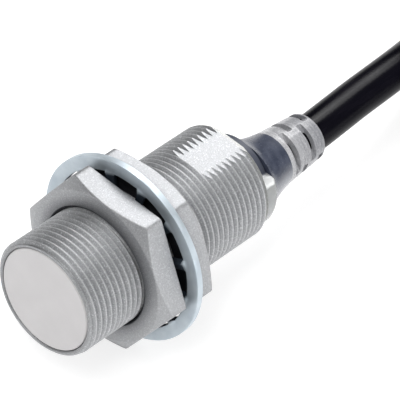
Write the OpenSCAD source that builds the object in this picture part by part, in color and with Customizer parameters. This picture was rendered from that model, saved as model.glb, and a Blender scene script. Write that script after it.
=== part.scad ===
// M18 cylindrical inductive proximity sensor, pre-wired, with two nuts and a toothed washer.
// The sensor lies along X. The sensing face is at x = 0 and the cable leaves towards +X.

/* [Threaded sleeve] */
// Length of the threaded sleeve
sleeve_len = 37; // [30:1:60]
// Thread outside diameter
thread_d = 18; // [12:1:30]
// Thread pitch
pitch = 1; // [0.75:0.25:1.5]
// Bore of the front recess that takes the face cap
front_bore_d = 16.12; // [10:0.02:27]
// Length of the front recess
front_bore_len = 8; // [5:0.5:14]
// Main bore of the sleeve
bore_d = 14.8; // [9:0.1:26]
// Distance from the axis to the milled flat
flat_height = 8.2; // [7.6:0.1:8.8]
// Where the milled flat begins
flat_start = 28; // [22:0.5:34]
// Chamfer at both ends of the sleeve
end_chamfer = 0.5; // [0.2:0.1:1]

/* [Sensing face and coil] */
// Thickness of the face cap
cap_wall = 1.5; // [1:0.1:2.5]
// Rounding of the face cap's edge
cap_edge = 0.4; // [0.2:0.1:0.8]
// Length of the ferrite pot core
core_len = 5.2; // [3:0.1:7]
// Length of the winding
winding_len = 2.3; // [1.5:0.1:3.5]

/* [Nuts and washer] */
// Nut width across flats
nut_af = 24; // [22:1:30]
// Nut thickness
nut_h = 4; // [3:0.5:8]
// Front face of the front nut
front_nut_x = 10.1; // [5:0.1:14]
// Gap between the front nut and the toothed washer's plate
washer_gap = 1.3; // [1.1:0.1:3]
// Washer outside diameter
washer_d = 29; // [25:0.5:34]
// Washer ring inside diameter
washer_ring_d = 24.4; // [22:0.2:27]
// Washer plate thickness
washer_t = 1; // [0.6:0.1:1.4]
// Number of washer teeth
tooth_count = 13; // [8:1:18]
// Twist of each washer tooth
tooth_twist = 24; // [0:1:30]
// Radial running clearance of the nuts on the thread
nut_clear = 0.05; // [0.02:0.01:0.1]

/* [Electronics] */
// Width of the circuit board
board_w = 11; // [8:0.5:12]
// How far the circuit board reaches past the sleeve
board_out = 1.4; // [0.4:0.1:1.8]

/* [End cap, boot and cable] */
// Diameter of the clear end cap's flange
flange_d = 16.6; // [14:0.2:17.6]
// Thickness of the flange
flange_t = 2.8; // [1.5:0.1:4]
// Length of the strain relief boot behind its skirt
boot_len = 8.05; // [8:0.05:14]
// Boot diameter at its rear end
boot_end_d = 7.5; // [7:0.1:9]
// Cable outside diameter
cable_d = 6; // [4:0.5:7]
// Sideways offset of the cable exit
exit_y = -1.2; // [-1.5:0.1:1.5]
// Height offset of the cable exit
exit_z = -0.75; // [-1:0.05:1]

/* [Cable hank] */
// Distance from the boot's end to the hank
hank_gap = 37; // [31:1:66]
// Overall length of the hank
hank_len = 98; // [80:1:140]
// Sideways position of the hank's centre line
hank_y = -12; // [-20:1:0]
// Layers of cable in the hank
hank_layers = 5; // [3:1:7]

/* [Hidden] */
$fn = 96;
clear = 0.05;
part_gap = 0.1;
cut = 0.5;
thread_r = thread_d / 2;
thread_depth = 0.6134 * pitch;
root_r = thread_r - thread_depth;
crest_flat = 0.125 * pitch;
flank = 0.354 * pitch;
root_flat = pitch - crest_flat - 2 * flank;
run_in = 0.3;
turns = floor((sleeve_len - 2 * end_chamfer - 2 * run_in) / pitch);
front_bore_r = front_bore_d / 2;
bore_r = bore_d / 2;
bore_edge = 0.14;

cap_r = front_bore_r - 0.08;
cap_skirt_r = bore_r - 0.1;
cap_len = front_bore_len - 0.2;
core_r = cap_skirt_r - 0.15;
core_x = cap_wall + 0.2;
core_post_r = 0.43 * core_r;
core_wall = 0.16 * core_r;
core_base = 1.6;
core_hole_r = 0.8;
groove_r = core_r - core_wall;
groove_len = core_len - core_base;
bobbin_wall = 0.35;
bobbin_gap = 0.15;
bobbin_x = core_x + bobbin_gap;
bobbin_r = groove_r - bobbin_gap;
hub_r = core_post_r + bobbin_gap;
winding_r = bobbin_r - 0.2;
winding_x = bobbin_x + bobbin_wall + clear;
holder_x = core_x + core_len + 0.2;
holder_len = 2.5;
holder_r = cap_skirt_r - part_gap;
lead_hole_r = 0.3;
lead_y = hub_r + 0.9;
coil_lead_r = 0.15;

board_x = holder_x + 0.8;
board_t = 0.8;
board_end = sleeve_len + board_out;
board_len = board_end - board_x;
top = board_t / 2 + clear;
fill_x = holder_x + holder_len + 0.2;
coil_lead_z = top + coil_lead_r;
coil_lead_end = fill_x + 0.3;
plug_len = 5.5;
plug_x = sleeve_len - plug_len;
fill_len = plug_x - fill_x - 0.3;
film_r = bore_r - 0.15;
film_t = 0.1;
fill_r = film_r - film_t - clear;
channel_w = board_w + 0.3;
channel_h = 5;

plug_r = bore_r - 0.1;
plug_bore_r = board_w / 2 + 0.25;
ring_minor = 0.6;
ring_major = plug_r - ring_minor + 0.05;
ring_x = sleeve_len - 3;
groove_floor_r = ring_major - ring_minor - clear;
flange_x = sleeve_len + clear;
flange_r = flange_d / 2;
flange_core_r = 6.1;
flange_ear = 3.6;
flange_corner = 0.8;
dome_x = flange_x + flange_t + part_gap;
cable_r = cable_d / 2;
cable_bore_r = cable_r + 0.08;
flare_shape = [[1, 0], [1.25, 1.5], [1.7, 3.2], [2.3, 4.8], [3.1, 6]];
flare_len = flare_shape[len(flare_shape) - 1][1];
boot_x = dome_x + flare_len;
boot_end = boot_x + boot_len;
boot_r = cable_r + 1.3;
boot_shoulder = 0.5;
skin = 0.4;
cable_x = dome_x + 4;
seat_x = cable_x - clear;
boot_edge = 0.3;
slot_w = 1.1;
slot_step = 1.85;
slot_x = boot_x + 1.5;
slot_count = 4;
slot_depth = 2.8;
slot_angle = 45;
slot_reach = 2 * boot_r;

ic_x = 16;
ic_size = [5, 4.4, 1.2];
ic_lead = [0.4, 1.1, 0.3];
ic_lead_step = 1.2;
ic_lead_rows = 4;
lead_lift = 0.2;
transistor_at = [23, 1.5];
transistor_size = [2.9, 1.6, 1];
transistor_lead = [0.4, 0.6, 0.3];
transistor_lead_y = 1.05;
zener_at = [22, -2.4];
zener_len = 2.4;
zener_r = 0.7;
zener_end_len = 0.6;
zener_end_r = 0.75;
zener_end_in = 0.4;
large_cap = [2, 1.2, 0.9];
large_cap_at = [[27, -3.6], [27, 3.6]];
small_cap = [1.2, 2, 1];
small_cap_at = [[12, 3.4], [20, -3.2]];
resistor = [1.2, 0.8, 0.5];
resistor_top_at = [[12, 3.8], [20.5, 3.8], [27, 0], [29.5, 0]];
resistor_under_at = [[15, 0], [24, 0], [29, 0]];
led = [0.8, 1.6, 0.8];
led_x = board_end - 0.6;
led_y = 3.8;
solder_h = 0.7;
solder_r = [0.7, 0.4];
coil_solder_h = 0.5;
coil_solder_r = [0.5, 0.3];
coil_solder_x = coil_lead_end + coil_solder_r[0];

wire_r = 0.6;
wire_z = top + wire_r;
wire_pitch = 1.7;
wire_x = board_end - 2.2;
solder_x = wire_x - solder_r[0] - part_gap;
wire_end = cable_x - part_gap;
wire_reach = norm([wire_pitch, wire_z - exit_z]) + wire_r;
dome_bore_r = max(cable_r + 0.3, wire_reach + part_gap);

nut_r = nut_af / 2 / cos(30);
nut_bore_r = thread_r + nut_clear;
nut_face_r = nut_af / 2;
nut_cut_r = nut_r + 0.2;
nut_chamfer = (nut_cut_r - nut_face_r) * tan(30);
bore_chamfer = 0.3;
washer_x = front_nut_x + nut_h + washer_gap;
rear_nut_x = washer_x + washer_t + part_gap;
tooth_w = 1.4;
tooth_tip_r = thread_r + 0.35;
tooth_root_r = washer_ring_d / 2 + 0.3;
tooth_shift = 0.4 * washer_t;
tooth_t = 0.85 * washer_t;
tooth_first = 99;

floor_z = -washer_d / 2;
tie_t = 0.8;
tie_w = 4;
tie_gap = 0.1;
hank_x = boot_end + hank_gap;
hank_z = floor_z + tie_t + tie_gap;
hank_h = hank_layers * cable_d;
row_in = 3 * cable_d;
row_out = 4 * cable_d;
hank_r_in = row_in - cable_r;
hank_r_out = row_out + cable_r;
hank_side = hank_len - 2 * hank_r_out;
hank_a = hank_x + hank_r_out;
mid_z = hank_z + hank_h / 2;

lead_points = [
    [cable_x, exit_y, exit_z],
    [boot_end - 4, exit_y, exit_z],
    [boot_end + 2, exit_y, exit_z],
    [boot_end + 12, -0.6, -0.75],
    [boot_end + 23, 0, -1],
    [boot_end + 33, 2, -3],
    [boot_end + 43, 6, -7],
    [boot_end + 53, 10, -10],
    [hank_a - 4, hank_y + row_out, hank_z + cable_r]
];
lead_steps = 4;
lead_sides = 12;

tail_y = hank_y - row_out;
tail_from = [hank_a - 6, tail_y, hank_z + 1.5 * cable_d - 1];
tail_to = [hank_x, tail_y, floor_z + cable_r + 0.1];
free_r = 0.6;
free_in = 0.5;
free_pitch = 1.4;
free_end = hank_x - 21;
free_aside = 2;
free_spread = 3;
free_z = floor_z + free_r + 0.2;
bare_r = 0.4;
bare_end = free_end - 6;
bare_spread = 0.4;
bare_z = floor_z + bare_r + 0.2;

// Turns a shape drawn along Z so that it lies along X, starting at x.
module along_x(x) {
    translate([x, 0, 0]) rotate([0, 90, 0]) children();
}

// A plain tube along X.
module tube(x, len, r_out, r_in) {
    along_x(x) difference() {
        cylinder(h = len, r = r_out);
        translate([0, 0, -cut]) cylinder(h = len + 2 * cut, r = r_in);
    }
}

// A round rod between two points.
module rod(a, b, r) {
    d = b - a;
    translate(a) rotate([0, acos(d[2] / norm(d)), atan2(d[1], d[0])]) cylinder(h = norm(d), r = r);
}

// A box given by its centre and size.
module block(at, size) {
    translate(at) cube(size, center = true);
}

// The corners of one thread groove, from the crest before it to the crest after it.
function groove_points(x) = [
    [thread_r, x],
    [root_r, x + flank],
    [root_r, x + flank + root_flat],
    [thread_r, x + 2 * flank + root_flat]
];

module housing() {
    first = end_chamfer + run_in;
    outline = concat(
        [[front_bore_r, bore_edge], [front_bore_r + bore_edge, 0]],
        [[thread_r - end_chamfer, 0], [thread_r, end_chamfer]],
        [for (i = [0 : turns - 1]) each groove_points(first + i * pitch)],
        [[thread_r, sleeve_len - end_chamfer], [thread_r - end_chamfer, sleeve_len]],
        [[bore_r, sleeve_len], [bore_r, front_bore_len], [front_bore_r, front_bore_len]]
    );
    color([0.62, 0.61, 0.61]) difference() {
        rotate([0, 90, 0]) rotate_extrude() polygon(outline);
        translate([flat_start, -thread_r, flat_height]) cube([sleeve_len, thread_d, thread_r]);
    }
}

// The two holes for the coil's leads.
module lead_holes(x, len) {
    for (s = [-1, 1]) translate([0, s * lead_y, coil_lead_z]) along_x(x)
        cylinder(h = len, r = lead_hole_r);
}

module sensing_cap() {
    color([0.8, 0.79, 0.8]) rotate([0, 90, 0]) rotate_extrude() polygon([
        [0, 0], [cap_r - cap_edge, 0], [cap_r, cap_edge], [cap_r, cap_len],
        [cap_skirt_r, cap_len], [cap_skirt_r, cap_wall], [0, cap_wall]
    ]);
}

module ferrite_core() {
    color([0.2, 0.2, 0.21]) difference() {
        along_x(core_x) cylinder(h = core_len, r = core_r);
        tube(core_x - cut, groove_len + cut, groove_r, core_post_r);
        along_x(core_x - cut) cylinder(h = core_len + 2 * cut, r = core_hole_r);
        lead_holes(core_x, core_len + cut);
    }
}

module coil_bobbin() {
    color([0.85, 0.82, 0.7]) difference() {
        union() {
            tube(bobbin_x, winding_len + 2 * bobbin_wall + 2 * clear, hub_r + bobbin_wall, hub_r);
            tube(bobbin_x, bobbin_wall, bobbin_r, hub_r);
            tube(winding_x + winding_len + clear, bobbin_wall, bobbin_r, hub_r);
        }
        lead_holes(winding_x + winding_len, 2 * bobbin_wall);
    }
}

module coil_winding() {
    color([0.72, 0.4, 0.2]) tube(winding_x, winding_len, winding_r, hub_r + bobbin_wall + clear);
}

module coil_leads() {
    color([0.72, 0.4, 0.2]) for (s = [-1, 1])
        translate([0, s * lead_y, coil_lead_z]) along_x(winding_x + winding_len + clear)
            cylinder(h = coil_lead_end - winding_x - winding_len - clear, r = coil_lead_r);
}

module core_holder() {
    color([0.3, 0.3, 0.32]) difference() {
        along_x(holder_x) cylinder(h = holder_len, r = holder_r);
        block([board_x + holder_len, 0, 0], [2 * holder_len, board_w, board_t] + part_gap * [1, 1, 1]);
        lead_holes(holder_x - cut, holder_len + 2 * cut);
    }
}

module shield_film() {
    color([0.75, 0.5, 0.3]) tube(fill_x, fill_len, film_r, film_r - film_t);
}

module potting_resin() {
    color([0.75, 0.68, 0.5]) difference() {
        along_x(fill_x) cylinder(h = fill_len, r = fill_r);
        block([fill_x + fill_len / 2, 0, 0], [fill_len + 2 * cut, channel_w, channel_h]);
    }
}

module circuit_board() {
    color([0.1, 0.4, 0.2]) block([board_x + board_len / 2, 0, 0], [board_len, board_w, board_t]);
}

module sensor_ic() {
    color([0.1, 0.1, 0.11]) block([ic_x, 0, top + ic_size[2] / 2], ic_size);
    color([0.75, 0.76, 0.78]) for (s = [-1, 1], i = [0 : ic_lead_rows - 1])
        block([
            ic_x + ic_lead_step * (i - (ic_lead_rows - 1) / 2),
            s * (ic_size[1] + ic_lead[1] - part_gap) / 2,
            top + lead_lift
        ], ic_lead);
}

module output_transistor() {
    x = transistor_at[0];
    y = transistor_at[1];
    color([0.12, 0.12, 0.13]) block([x, y, top + transistor_size[2] / 2], transistor_size);
    color([0.75, 0.76, 0.78]) {
        for (i = [-1, 1]) block([x + i, y - transistor_lead_y, top + lead_lift], transistor_lead);
        block([x, y + transistor_lead_y, top + lead_lift], transistor_lead);
    }
}

module zener_diode() {
    x = zener_at[0];
    ends = [x - zener_end_in, x + zener_len - zener_end_len + zener_end_in];
    translate([0, zener_at[1], top + zener_end_r]) {
        color([0.6, 0.25, 0.15]) along_x(x) cylinder(h = zener_len, r = zener_r);
        color([0.75, 0.76, 0.78]) for (end_x = ends) along_x(end_x)
            cylinder(h = zener_end_len, r = zener_end_r);
    }
}

// Blocks of one size on the top (s = 1) or the underside (s = -1) of the board.
module parts_on_board(places, size, s) {
    for (p = places) block([p[0], p[1], s * (top + size[2] / 2)], size);
}

module capacitors() {
    color([0.7, 0.6, 0.45]) {
        parts_on_board(large_cap_at, large_cap, 1);
        parts_on_board(small_cap_at, small_cap, -1);
    }
}

module resistors() {
    color([0.15, 0.15, 0.17]) {
        parts_on_board(resistor_top_at, resistor, 1);
        parts_on_board(resistor_under_at, resistor, -1);
    }
}

module indicator_leds() {
    color([0.95, 0.75, 0.3]) {
        parts_on_board([[led_x, led_y]], led, 1);
        parts_on_board([[led_x, led_y], [led_x, -led_y]], led, -1);
    }
}

module solder_joints() {
    color([0.78, 0.79, 0.8]) {
        for (i = [-1 : 1]) translate([solder_x, exit_y + i * wire_pitch, top])
            cylinder(h = solder_h, r1 = solder_r[0], r2 = solder_r[1]);
        for (s = [-1, 1]) translate([coil_solder_x, s * lead_y, top])
            cylinder(h = coil_solder_h, r1 = coil_solder_r[0], r2 = coil_solder_r[1]);
    }
}

module o_ring() {
    color([0.12, 0.12, 0.12]) along_x(ring_x) rotate_extrude()
        translate([ring_major, 0]) circle(r = ring_minor);
}

module end_cap() {
    color([0.9, 0.93, 0.93, 0.45]) difference() {
        union() {
            along_x(plug_x) cylinder(h = plug_len + clear, r = plug_r);
            along_x(flange_x) cylinder(h = flange_t, r = flange_core_r);
            intersection() {
                block([flange_x + flange_t / 2, 0, 0], [2 * flange_t, 2 * flange_r, 2 * flange_ear]);
                rotate([0, 90, 0]) rotate_extrude() polygon([
                    [0, flange_x], [flange_r, flange_x], [flange_r, flange_x + flange_t - flange_corner],
                    [flange_r - flange_corner, flange_x + flange_t], [0, flange_x + flange_t]
                ]);
            }
        }
        along_x(plug_x - cut) cylinder(h = plug_len + flange_t + 2 * cut, r = plug_bore_r);
        tube(ring_x - ring_minor - clear, 2 * (ring_minor + clear), plug_r + cut, groove_floor_r);
    }
}

// Outline of the flared dome behind the end cap, at a distance from its own surface.
function flare(grow) = [for (p = flare_shape) [cable_r + p[0] + grow, boot_x - p[1]]];
function back_to_front(list) = [for (i = [len(list) - 1 : -1 : 0]) list[i]];

module cable_clamp() {
    outline = concat(
        [[dome_bore_r, dome_x], [dome_bore_r, seat_x], [cable_bore_r, seat_x], [cable_bore_r, boot_x]],
        flare(-clear)
    );
    color([0.1, 0.11, 0.16]) translate([0, exit_y, exit_z]) rotate([0, 90, 0]) rotate_extrude()
        polygon(outline);
}

// The boot's rings of slots, each turned a quarter from the one before it.
module boot_slots() {
    size = [slot_w, 2 * slot_reach, slot_reach];
    for (i = [0 : slot_count - 1]) rotate([slot_angle + 90 * (i % 2), 0, 0]) for (s = [-1, 1])
        block([slot_x + i * slot_step, 0, s * (slot_depth + slot_reach / 2)], size);
}

module strain_relief() {
    end_r = boot_end_d / 2;
    outline = concat(
        back_to_front(flare(0)),
        [[cable_r + flare_shape[0][0], boot_x + part_gap], [cable_bore_r, boot_x + part_gap]],
        [[cable_bore_r, boot_end], [end_r - boot_edge, boot_end], [end_r, boot_end - boot_edge]],
        [[boot_r, boot_x + boot_shoulder]],
        flare(skin)
    );
    color([0.88, 0.9, 0.9, 0.6]) translate([0, exit_y, exit_z]) difference() {
        rotate([0, 90, 0]) rotate_extrude() polygon(outline);
        boot_slots();
    }
}

module wire(i) {
    translate([0, exit_y + i * wire_pitch, wire_z]) along_x(wire_x)
        cylinder(h = wire_end - wire_x, r = wire_r);
}

module wire_brown() {
    color([0.4, 0.22, 0.12]) wire(-1);
}

module wire_blue() {
    color([0.1, 0.25, 0.65]) wire(0);
}

module wire_black() {
    color([0.08, 0.08, 0.09]) wire(1);
}

// Smooth curve through the route points, and its rings of corners.
function blend(a, b, c, d, t) =
    0.5 * (2 * b + (c - a) * t + (2 * a - 5 * b + 4 * c - d) * t * t + (3 * b - a - 3 * c + d) * t * t * t);
function point_at(p, i, t) =
    blend(p[max(i - 1, 0)], p[i], p[i + 1], p[min(i + 2, len(p) - 1)], t);
function route(p) = concat(
    [for (i = [0 : len(p) - 2], k = [0 : lead_steps - 1]) point_at(p, i, k / lead_steps)],
    [p[len(p) - 1]]
);
function heading(q, i) =
    let (d = q[min(i + 1, len(q) - 1)] - q[max(i - 1, 0)]) d / norm(d);
function ring(q, i) =
    let (t = i == 0 || i == len(q) - 1 ? [1, 0, 0] : heading(q, i))
    let (s = cross([0, 0, 1], t) / norm(cross([0, 0, 1], t)))
    let (u = cross(t, s))
    [for (k = [0 : lead_sides - 1])
        q[i] + cable_r * (cos(360 * k / lead_sides) * s + sin(360 * k / lead_sides) * u)];

module cable_lead() {
    q = route(lead_points);
    n = lead_sides;
    last = len(q) - 1;
    corners = [for (i = [0 : last]) each ring(q, i)];
    sides = [for (i = [0 : last - 1], k = [0 : n - 1])
        [i * n + k, i * n + (k + 1) % n, (i + 1) * n + (k + 1) % n, (i + 1) * n + k]];
    ends = [[for (k = [n - 1 : -1 : 0]) k], [for (k = [0 : n - 1]) last * n + k]];
    color([0.06, 0.06, 0.07]) polyhedron(points = corners, faces = concat(sides, ends), convexity = 6);
}

// Stadium outline of the hank at one radius.
module stadium(r) {
    translate([hank_a, hank_y]) circle(r = r);
    translate([hank_a + hank_side, hank_y]) circle(r = r);
    translate([hank_a, hank_y - r]) square([hank_side, 2 * r]);
}

module cable_hank() {
    color([0.06, 0.06, 0.07]) translate([0, 0, hank_z]) linear_extrude(hank_h) difference() {
        stadium(hank_r_out);
        stadium(hank_r_in);
    }
}

module hank_ties() {
    inside_w = hank_r_out - hank_r_in + 2 * tie_gap;
    inside_h = hank_h + 2 * tie_gap;
    color([0.15, 0.15, 0.15]) for (s = [-1, 1])
        translate([hank_a + hank_side / 2, hank_y + s * (row_in + row_out) / 2, mid_z]) difference() {
            cube([tie_w, inside_w + 2 * tie_t, inside_h + 2 * tie_t], center = true);
            cube([tie_w + 2 * cut, inside_w, inside_h], center = true);
        }
}

module cable_tail() {
    color([0.06, 0.06, 0.07]) rod(tail_from, tail_to, cable_r);
}

// Where each free wire leaves the cable, and where its insulation ends.
function free_from(i) = tail_to + [-free_in, free_pitch * i, 0];
function free_to(i) = [free_end, tail_y + free_aside + free_spread * i, free_z];

module free_brown() {
    color([0.4, 0.22, 0.12]) rod(free_from(-1), free_to(-1), free_r);
}

module free_blue() {
    color([0.1, 0.25, 0.65]) rod(free_from(0), free_to(0), free_r);
}

module free_black() {
    color([0.08, 0.08, 0.09]) rod(free_from(1), free_to(1), free_r);
}

module tinned_ends() {
    color([0.8, 0.8, 0.8]) for (i = [-1 : 1])
        rod(free_to(i) - [part_gap, 0, 0], [bare_end, free_to(i)[1] + bare_spread * i, bare_z], bare_r);
}

// A hexagon nut that starts at x, with its chamfered face at the front.
module nut(x) {
    along_x(x) difference() {
        intersection() {
            rotate(30) cylinder(h = nut_h, r = nut_r, $fn = 6);
            rotate_extrude() polygon([
                [0, 0], [nut_face_r, 0], [nut_cut_r, nut_chamfer], [nut_cut_r, nut_h], [0, nut_h]
            ]);
        }
        translate([0, 0, -cut]) cylinder(h = nut_h + 2 * cut, r = nut_bore_r);
        rotate_extrude() polygon([
            [0, -cut], [nut_bore_r + bore_chamfer + cut, -cut], [nut_bore_r, bore_chamfer], [0, bore_chamfer]
        ]);
    }
}

module front_nut() {
    color([0.6, 0.6, 0.6]) nut(front_nut_x);
}

module rear_nut() {
    color([0.6, 0.6, 0.6]) translate([2 * rear_nut_x + nut_h, 0, 0]) mirror([1, 0, 0]) nut(rear_nut_x);
}

module toothed_washer() {
    size = [tooth_t, tooth_root_r - tooth_tip_r, tooth_w];
    middle = [washer_x + washer_t / 2 - tooth_shift, (tooth_tip_r + tooth_root_r) / 2, 0];
    color([0.72, 0.78, 0.84]) union() {
        tube(washer_x, washer_t, washer_d / 2, washer_ring_d / 2);
        for (i = [0 : tooth_count - 1]) rotate([tooth_first + i * 360 / tooth_count, 0, 0])
            translate(middle) rotate([0, tooth_twist, 0]) cube(size, center = true);
    }
}

housing();
sensing_cap();
ferrite_core();
coil_bobbin();
coil_winding();
core_holder();
coil_leads();
shield_film();
potting_resin();
circuit_board();
sensor_ic();
output_transistor();
zener_diode();
capacitors();
resistors();
indicator_leds();
solder_joints();
o_ring();
end_cap();
cable_clamp();
strain_relief();
wire_brown();
wire_blue();
wire_black();
cable_lead();
cable_hank();
hank_ties();
cable_tail();
free_brown();
free_blue();
free_black();
tinned_ends();
front_nut();
toothed_washer();
rear_nut();
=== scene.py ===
"""Looks of the M18 cylindrical proximity sensor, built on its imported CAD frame.

Sizes are in millimetres until a mesh is made.
"""

import math

import bmesh
import bpy
from mathutils import Matrix, Vector


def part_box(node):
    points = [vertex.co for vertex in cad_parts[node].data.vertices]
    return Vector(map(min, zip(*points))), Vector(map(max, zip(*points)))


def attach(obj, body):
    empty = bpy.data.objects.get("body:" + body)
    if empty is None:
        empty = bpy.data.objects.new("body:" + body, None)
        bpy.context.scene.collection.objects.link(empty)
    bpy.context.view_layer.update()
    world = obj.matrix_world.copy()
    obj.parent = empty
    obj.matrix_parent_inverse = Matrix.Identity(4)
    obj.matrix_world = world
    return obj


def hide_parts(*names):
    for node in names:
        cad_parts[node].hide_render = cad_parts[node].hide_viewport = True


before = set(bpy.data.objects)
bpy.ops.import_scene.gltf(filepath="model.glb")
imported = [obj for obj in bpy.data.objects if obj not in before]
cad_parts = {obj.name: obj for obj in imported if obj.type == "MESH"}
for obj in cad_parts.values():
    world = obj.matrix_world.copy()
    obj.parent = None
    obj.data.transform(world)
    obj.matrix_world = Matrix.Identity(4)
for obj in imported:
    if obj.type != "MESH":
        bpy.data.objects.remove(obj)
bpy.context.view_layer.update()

MM = 0.001
BODY = "sensor_body"


def span(node):
    """The lowest and highest corner of a CAD node, in millimetres."""
    low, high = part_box(node)
    return low / MM, high / MM


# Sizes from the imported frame. The milled flat's start and height and the cable's radius repeat part.scad.
SLEEVE_END = span("housing")[1].x
THREAD_R = span("housing")[1].y
FLAT_START = 28
FLAT_Z = 8.2
CAP_R = span("sensing_cap")[1].y
FLANGE_LOW, FLANGE_HIGH = span("end_cap")
DOME_LOW, DOME_HIGH = span("cable_clamp")
BOOT_LOW, BOOT_HIGH = span("strain_relief")
EXIT_Y = (BOOT_LOW.y + BOOT_HIGH.y) / 2
EXIT_Z = (BOOT_LOW.z + BOOT_HIGH.z) / 2
DOME_X = DOME_LOW.x
BOOT_X = DOME_HIGH.x
BOOT_END = BOOT_HIGH.x
CABLE_R = 3.0
CABLE_X = span("cable_lead")[0].x
HANK_LOW, HANK_HIGH = span("cable_hank")
HANK_X = HANK_LOW.x
HANK_Y = (HANK_LOW.y + HANK_HIGH.y) / 2
FLOOR_Z = span("toothed_washer")[0].z
ROW_OUT = HANK_HIGH.y - HANK_Y - CABLE_R
ROW_IN = ROW_OUT - 2 * CABLE_R
HANK_A = HANK_X + ROW_OUT + CABLE_R
HANK_B = HANK_HIGH.x - ROW_OUT - CABLE_R
LAYER_Z = [HANK_LOW.z + CABLE_R * (2 * k + 1) for k in range(5)]


# ---------------------------------------------------------------- camera, floor and light


def make_camera():
    """A long lens at the viewing angle."""
    data = bpy.data.cameras.new("camera")
    data.sensor_width = 36
    data.lens = 324
    data.clip_end = 20
    camera = bpy.data.objects.new("camera", data)
    camera.location = (-0.27268, -0.21247, 0.35323)
    camera.rotation_euler = [math.radians(a) for a in (45.859, -7.796, -47.625)]
    bpy.context.scene.collection.objects.link(camera)
    bpy.context.scene.camera = camera


MIDDLE = Vector((0.03, 0, 0))
# Soft boxes: name, direction from the sensor, distance, size (metres) and power (watts).
LIGHTS = [
    ("back", (0.60, 0.15, 0.78), 0.7, 0.25, 2.05),
    ("backlow", (0.594, 0.414, 0.69), 0.7, 0.25, 1.6),
    ("right", (0.3, -0.6, 0.75), 0.7, 0.3, 0.5),
    ("low", (0.2, -0.95, 0.3), 0.7, 0.35, 1.9),
    ("front", (-0.8, -0.2, 0.45), 0.7, 0.35, 0.12),
    ("fronttop", (-0.5, 0, 0.85), 0.7, 0.35, 3.0),
]


def make_light(name, way, distance, size, power):
    """A square soft box that faces the sensor."""
    data = bpy.data.lights.new(name, "AREA")
    data.shape = "SQUARE"
    data.size = size
    data.energy = power
    light = bpy.data.objects.new(name, data)
    light.location = MIDDLE + Vector(way).normalized() * distance
    light.rotation_euler = Vector(way).to_track_quat("Z", "Y").to_euler()
    bpy.context.scene.collection.objects.link(light)


def make_studio():
    """A pale floor that also glows, so that it stays white, under light from soft boxes."""
    world = bpy.data.worlds.new("studio")
    world.use_nodes = True
    back = world.node_tree.nodes["Background"]
    back.inputs["Color"].default_value = (0.95, 0.97, 1.0, 1)
    back.inputs["Strength"].default_value = 0.01
    bpy.context.scene.world = world
    for light in LIGHTS:
        make_light(*light)
    mesh = bpy.data.meshes.new("floor")
    s, z = 4.0, FLOOR_Z * MM
    mesh.from_pydata([(-s, -s, z), (s, -s, z), (s, s, z), (-s, s, z)], [], [(0, 1, 2, 3)])
    floor = bpy.data.objects.new("floor", mesh)
    paint = bpy.data.materials.new("floor_white")
    paint.use_nodes = True
    shader = paint.node_tree.nodes["Principled BSDF"]
    shader.inputs["Base Color"].default_value = (0.4, 0.4, 0.4, 1)
    shader.inputs["Emission Color"].default_value = (1, 1, 1, 1)
    shader.inputs["Emission Strength"].default_value = 0.78
    shader.inputs["Roughness"].default_value = 0.9
    shader.inputs["Specular IOR Level"].default_value = 0.0
    mesh.materials.append(paint)
    bpy.context.scene.collection.objects.link(floor)
    bpy.context.scene.view_settings.view_transform = "Standard"


# ---------------------------------------------------------------- node materials


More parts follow.
